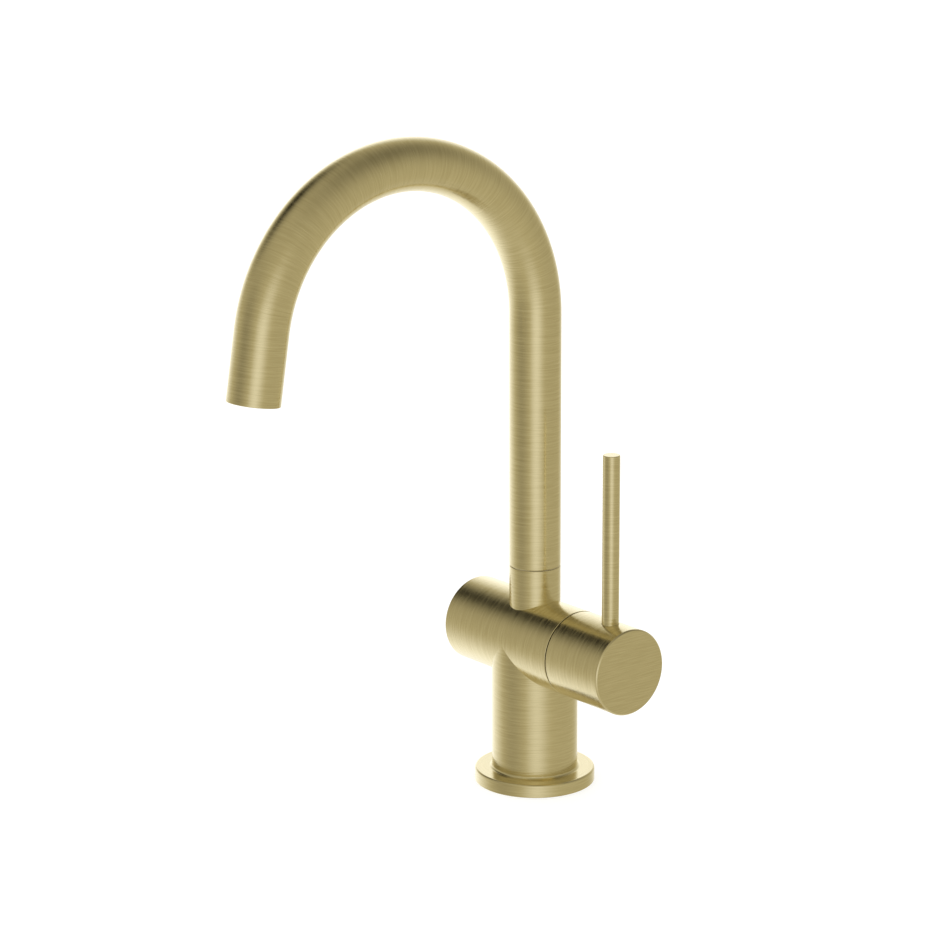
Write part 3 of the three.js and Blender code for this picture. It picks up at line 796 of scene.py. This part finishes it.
def spout_tree():
    """A pipe that rises, arches over and leans out, its middle line worked out along its length."""
    tree, bench, sizes = new_tree(
        "gooseneck", ["Low", "Rise", "Arch radius", "Lean", "Tail", "Pipe radius"], ["Stations", "Sides"],
    )
    rise, radius, lean, tail = sizes["Rise"], sizes["Arch radius"], sizes["Lean"], sizes["Tail"]
    sweep = math.pi - lean
    length = rise + radius * sweep + tail
    index = bench.add("GeometryNodeInputIndex")[0]
    run = index / (sizes["Stations"] - 1.0) * length
    turn = ((run - rise) / radius).at_least(0.0).at_most(sweep)
    rest = (run - rise - radius * sweep).at_least(0.0)
    y = radius * (turn.cos() - 1.0) - rest * lean.sin()
    z = sizes["Low"] + run.at_most(rise) + radius * turn.sin() - rest * lean.cos()
    spot = bench.add("ShaderNodeCombineXYZ", None, {1: y, 2: z})[0]
    line = bench.add("GeometryNodeMeshLine", {"mode": "OFFSET"}, {"Count": sizes["Stations"]})["Mesh"]
    line = bench.add("GeometryNodeSetPosition", None, {"Geometry": line, "Position": spot})["Geometry"]
    path = bench.add("GeometryNodeMeshToCurve", None, {"Mesh": line})["Curve"]
    kept_run = bench.add("GeometryNodeStoreNamedAttribute", {"data_type": "FLOAT", "domain": "POINT"}, {
        "Geometry": path, "Name": "run", "Value": run,
    })["Geometry"]
    ring = bench.add("GeometryNodeCurvePrimitiveCircle", {"mode": "RADIUS"}, {
        "Resolution": sizes["Sides"], "Radius": sizes["Pipe radius"],
    })["Curve"]
    around = bench.add("GeometryNodeInputPosition")[0]
    ring = bench.add("GeometryNodeStoreNamedAttribute", {"data_type": "FLOAT_VECTOR", "domain": "POINT"}, {
        "Geometry": ring, "Name": "round", "Value": around,
    })["Geometry"]
    pipe = bench.add("GeometryNodeCurveToMesh", None, {
        "Curve": kept_run, "Profile Curve": ring, "Fill Caps": False,
    })["Mesh"]
    at_run, at_round = (
        bench.add("GeometryNodeInputNamedAttribute", {"data_type": kind}, {"Name": name})["Attribute"]
        for kind, name in (("FLOAT", "run"), ("FLOAT_VECTOR", "round"))
    )
    parts = bench.add("ShaderNodeSeparateXYZ", None, {0: at_round})
    grain = bench.add("ShaderNodeCombineXYZ", None, {0: parts[0], 1: parts[1], 2: at_run})[0]
    pipe = bench.add("GeometryNodeStoreNamedAttribute", {"data_type": "FLOAT_VECTOR", "domain": "POINT"}, {
        "Geometry": pipe, "Name": "grain", "Value": grain,
    })["Geometry"]
    close_tree(bench, pipe, FINISHES["brushed_brass"])
    return tree


def make_spout():
    piece = grown("gooseneck_spout", spout_tree(), {
        "Low": SPOUT_LOW * MM, "Rise": (ARCH_Z - SPOUT_LOW) * MM, "Arch radius": ARCH_R * MM,
        "Lean": LEAN, "Tail": TAIL * MM, "Pipe radius": SPOUT_R * MM, "Stations": 260, "Sides": 96,
    })
    shell = bmesh.new()
    shell.from_mesh(piece.data)
    bmesh.ops.recalc_face_normals(shell, faces=shell.faces)
    middle = Vector((0, 0, (SPOUT_LOW + 1) * MM))
    nearest = min(shell.faces, key=lambda f: (f.calc_center_median() - middle).length)
    if nearest.normal.dot(nearest.calc_center_median() - middle) < 0:
        bmesh.ops.reverse_faces(shell, faces=shell.faces)
    shell.to_mesh(piece.data)
    shell.free()
    wall = piece.modifiers.new("wall", "SOLIDIFY")
    wall.thickness, wall.offset, wall.use_even_offset = WALL * MM, -1, True
    rims = piece.modifiers.new("rims", "BEVEL")
    rims.width, rims.segments = 0.3 * MM, 3
    rims.limit_method, rims.angle_limit = "ANGLE", math.radians(60)
    settled(piece)
    piece.data.shade_smooth()
    steady = piece.modifiers.new("steady", "WEIGHTED_NORMAL")
    steady.keep_sharp = True
    settled(piece)
    place_piece(piece, "brushed_brass", "spout", "spout_tube")


make_spout()

# ---- Outlet, in the leaning end of the spout: +Z runs up into the pipe from the rim ----
AT_OUTLET = Matrix.Translation(RIM) @ Matrix.Rotation(-LEAN, 4, "X")
BUSH_R = SPOUT_R - WALL - 0.25
THREAD_R = BUSH_R - 0.95
BUSH_FROM, BUSH_TO = 1, 19
AERATOR_R, AERATOR_IN_R = THREAD_R - 0.25, THREAD_R - 1.8
AERATOR_H = 12
INSERT_R = AERATOR_IN_R - 0.25
INSERT_FROM, INSERT_TO = 3.8, 6.4
turned_piece(
    "outlet_thread_ring", eased_tube(BUSH_R, THREAD_R, BUSH_FROM, BUSH_TO, 0.25),
    "raw_brass", "spout", "outlet_bush", place=AT_OUTLET, sides=96,
)
lip = BUSH_FROM + 0.5
turned_piece(
    "aerator_shell",
    [
        *arc(AERATOR_IN_R - 0.6, lip + 0.4, 0.4, 180, 270, 4),
        *arc(AERATOR_R - 0.4, lip + 0.4, 0.4, 270, 360, 4),
        *arc(AERATOR_R - 0.3, lip + AERATOR_H - 0.3, 0.3, 0, 90, 3), (AERATOR_IN_R, lip + AERATOR_H),
        (AERATOR_IN_R, lip + 2), (AERATOR_IN_R - 1, lip + 2), (AERATOR_IN_R - 1, lip + 0.4),
    ],
    "white_plastic", "spout", "aerator_housing", place=AT_OUTLET, sides=96,
)


def honeycomb_tree():
    """Six-sided cells in staggered rows inside a round opening."""
    tree, bench, sizes = new_tree("honeycomb", ["Pitch", "Cell radius", "Depth", "Opening radius"], ["Rows"])
    rows = sizes["Rows"]
    index = bench.add("GeometryNodeInputIndex")[0]
    row = bench.add("ShaderNodeMath", {"operation": "FLOOR"}, {0: index / rows})[0]
    column = index - row * rows
    shift = bench.add("ShaderNodeMath", {"operation": "MODULO"}, {0: row, 1: 2.0})[0] * 0.5
    half = (rows - 1.0) * 0.5
    x = (column - half + shift) * sizes["Pitch"]
    y = (row - half) * sizes["Pitch"] * math.sin(math.pi / 3)
    spot = bench.add("ShaderNodeCombineXYZ", None, {0: x, 1: y})[0]
    spots = bench.add("GeometryNodePoints", None, {"Count": rows * rows, "Position": spot})[0]
    place = bench.add("GeometryNodeInputPosition")[0]
    away = bench.add("ShaderNodeVectorMath", {"operation": "LENGTH"}, {0: place})["Value"]
    outside = bench.add("FunctionNodeCompare", {"data_type": "FLOAT", "operation": "GREATER_THAN"}, {
        0: away, 1: sizes["Opening radius"],
    })["Result"]
    spots = bench.add("GeometryNodeDeleteGeometry", {"domain": "POINT"}, {
        "Geometry": spots, "Selection": outside,
    })["Geometry"]
    top = bench.add("ShaderNodeCombineXYZ", None, {2: sizes["Depth"]})[0]
    post = bench.add("GeometryNodeCurvePrimitiveLine", None, {"End": top})["Curve"]
    hexagon = bench.add("GeometryNodeCurvePrimitiveCircle", {"mode": "RADIUS"}, {
        "Resolution": 6, "Radius": sizes["Cell radius"],
    })["Curve"]
    hexagon = bench.add("GeometryNodeTransform", None, {
        "Geometry": hexagon, "Rotation": (0, 0, math.radians(30)),
    })["Geometry"]
    cell = bench.add("GeometryNodeCurveToMesh", None, {"Curve": post, "Profile Curve": hexagon})["Mesh"]
    cells = bench.add("GeometryNodeInstanceOnPoints", None, {"Points": spots, "Instance": cell})["Instances"]
    close_tree(bench, cells, FINISHES["white_plastic"])
    return tree


def make_honeycomb():
    pitch = 2.05
    cells = grown("stream_honeycomb", honeycomb_tree(), {
        "Pitch": pitch * MM, "Cell radius": pitch / math.sqrt(3) * 0.985 * MM,
        "Depth": (INSERT_TO - INSERT_FROM) * MM, "Opening radius": (INSERT_R - 1.2) * MM, "Rows": 9,
    })
    wall = cells.modifiers.new("wall", "SOLIDIFY")
    wall.thickness, wall.offset = 0.22 * MM, -1
    settled(cells)
    shell = bmesh.new()
    shell.from_mesh(cells.data)
    shell.transform(Matrix.Translation((0, 0, INSERT_FROM * MM)))
    rim = Turning(eased_tube(INSERT_R, INSERT_R - 1.5, INSERT_FROM, INSERT_TO, 0.1, 2)).solid()
    rim_mesh = bpy.data.meshes.new("rim")
    rim.to_mesh(rim_mesh)
    shell.from_mesh(rim_mesh)
    bpy.data.meshes.remove(rim_mesh)
    shell.transform(AT_OUTLET)
    shell.to_mesh(cells.data)
    shell.free()
    place_piece(cells, "white_plastic", "spout", "aerator_insert")


make_honeycomb()


# ---- Fixing kit under the deck ----
def softened(piece, width, segments=2):
    edges = piece.modifiers.new("soft_edges", "BEVEL")
    edges.width, edges.segments = width * MM, segments
    edges.limit_method, edges.angle_limit = "ANGLE", math.radians(40)
    settled(piece)
    piece.data.shade_smooth()
    steady = piece.modifiers.new("steady", "WEIGHTED_NORMAL")
    steady.keep_sharp = True
    return settled(piece)


def thread_tree():
    """A round bar with a screw thread wound on it."""
    tree, bench, sizes = new_tree(
        "screw_thread", ["Low", "High", "Radius", "Depth", "Pitch"], ["Facets"],
    )
    low, high, depth = sizes["Low"], sizes["High"], sizes["Depth"]
    core_r = sizes["Radius"] - depth
    ends = [bench.add("ShaderNodeCombineXYZ", None, {2: z})[0] for z in (low, high)]
    bar = bench.add("GeometryNodeCurvePrimitiveLine", None, {"Start": ends[0], "End": ends[1]})["Curve"]
    ring = bench.add("GeometryNodeCurvePrimitiveCircle", {"mode": "RADIUS"}, {
        "Resolution": sizes["Facets"], "Radius": core_r,
    })["Curve"]
    core = bench.add("GeometryNodeCurveToMesh", None, {
        "Curve": bar, "Profile Curve": ring, "Fill Caps": True,
    })["Mesh"]
    run = high - low - depth * 2.0
    winding = bench.add("GeometryNodeCurveSpiral", None, {
        "Resolution": sizes["Facets"], "Rotations": run / sizes["Pitch"],
        "Start Radius": core_r, "End Radius": core_r, "Height": run,
    })["Curve"]
    lift = bench.add("ShaderNodeCombineXYZ", None, {2: low + depth})[0]
    winding = bench.add("GeometryNodeTransform", None, {"Geometry": winding, "Translation": lift})["Geometry"]
    winding = bench.add("GeometryNodeSetCurveNormal", {"mode": "Z_UP"}, {"Curve": winding})["Curve"]
    diamond = bench.add("GeometryNodeCurvePrimitiveCircle", {"mode": "RADIUS"}, {
        "Resolution": 4, "Radius": depth,
    })["Curve"]
    ridge = bench.add("GeometryNodeCurveToMesh", None, {
        "Curve": winding, "Profile Curve": diamond, "Fill Caps": True,
    })["Mesh"]
    both = bench.add("GeometryNodeJoinGeometry", None, {"Geometry": [core, ridge]})["Geometry"]
    close_tree(bench, both, FINISHES["steel"])
    return tree


def make_stud():
    piece = grown("threaded_stud", thread_tree(), {
        "Low": stud_low.z * MM, "High": stud_high.z * MM, "Radius": STUD_R * MM,
        "Depth": 0.5 * MM, "Pitch": 1.25 * MM, "Facets": 32,
    })
    piece.data.transform(Matrix.Translation((STUD_X * MM, 0, 0)))
    place_piece(piece, "steel", "base", "fixing_stud")


make_stud()


def make_nut():
    low, high = mm_box("fixing_nut")
    across = (high.x - low.x) / 2
    hexagon = Turning(rod(across, low.z, high.z), upright_at(STUD_X, 0), 6)
    bore = Turning(rod(STUD_R + FIT, low.z - 1, high.z + 1), upright_at(STUD_X, 0), 48)
    piece = carve(as_object("hex_nut", hexagon.solid()), [], [bore.solid()])
    place_piece(softened(piece, 0.45), "raw_brass", "base", "fixing_nut")


make_nut()


def make_horseshoe(name, node, look, round_r):
    """A washer open on one side, so that it slips round the stud and the hoses."""
    low, high = mm_box(node)
    mouth = SOCKET_R + INLET_Y + 2
    turn = math.asin(mouth / round_r)
    steps = 48
    outline = [
        (round_r * math.cos(a), round_r * math.sin(a))
        for a in (-math.pi + turn + (2 * math.pi - 2 * turn) * i / steps for i in range(steps + 1))
    ] + [(-2, mouth), (-2, -mouth)]
    shell = bmesh.new()
    base = [shell.verts.new((x * MM, y * MM, low.z * MM)) for x, y in outline]
    top = [shell.verts.new((x * MM, y * MM, high.z * MM)) for x, y in outline]
    shell.faces.new(base[::-1])
    shell.faces.new(top)
    for i in range(len(outline)):
        j = (i + 1) % len(outline)
        shell.faces.new((base[i], base[j], top[j], top[i]))
    bmesh.ops.recalc_face_normals(shell, faces=shell.faces)
    hole = Turning(rod(STUD_R + RUN, low.z - 1, high.z + 1), upright_at(STUD_X, 0), 48)
    piece = carve(as_object(name, shell), [], [hole.solid()])
    place_piece(softened(piece, 0.3), look, "base", node)


make_horseshoe("rubber_horseshoe", "fixing_rubber_washer", "rubber", FLANGE_R - 7.5)
make_horseshoe("steel_horseshoe", "fixing_steel_washer", "steel", FLANGE_R - 8)


# ---- Socket screws ----
def make_socket_screw(name, node, place, low, high, r, body):
    screw = Turning([(0, low), (r, low), *arc(r - 0.15, high - 0.15, 0.15, 0, 90, 3), (0, high)], place, 48)
    key = Turning(rod(r * 0.52, high - 1.6, high + 1), place, 6)
    piece = carve(as_object(name, screw.solid()), [], [key.solid()])
    true_round(piece, [screw])
    place_piece(piece, "steel", body, node)


make_socket_screw(
    "spout_lock_screw", "spout_retaining_screw", BACKWARD, screw_low.y, screw_high.y,
    (screw_high.x - screw_low.x) / 2, "base",
)
DOWNWARD = upright_at(GRUB_X, 0) @ Matrix.Rotation(math.pi, 4, "X")
make_socket_screw(
    "knob_lock_screw", "handle_grub_screw", DOWNWARD, -grub_high.z, -grub_low.z,
    (grub_high.x - grub_low.x) / 2, "handle",
)

# ---- What stays as it was packed gets its finish ----
for name, node in nodes.items():
    if node.hide_render:
        continue
    material = FINISHES[SLOT_OF.get(name, "steel")]
    for spot in node.material_slots:
        spot.material = material
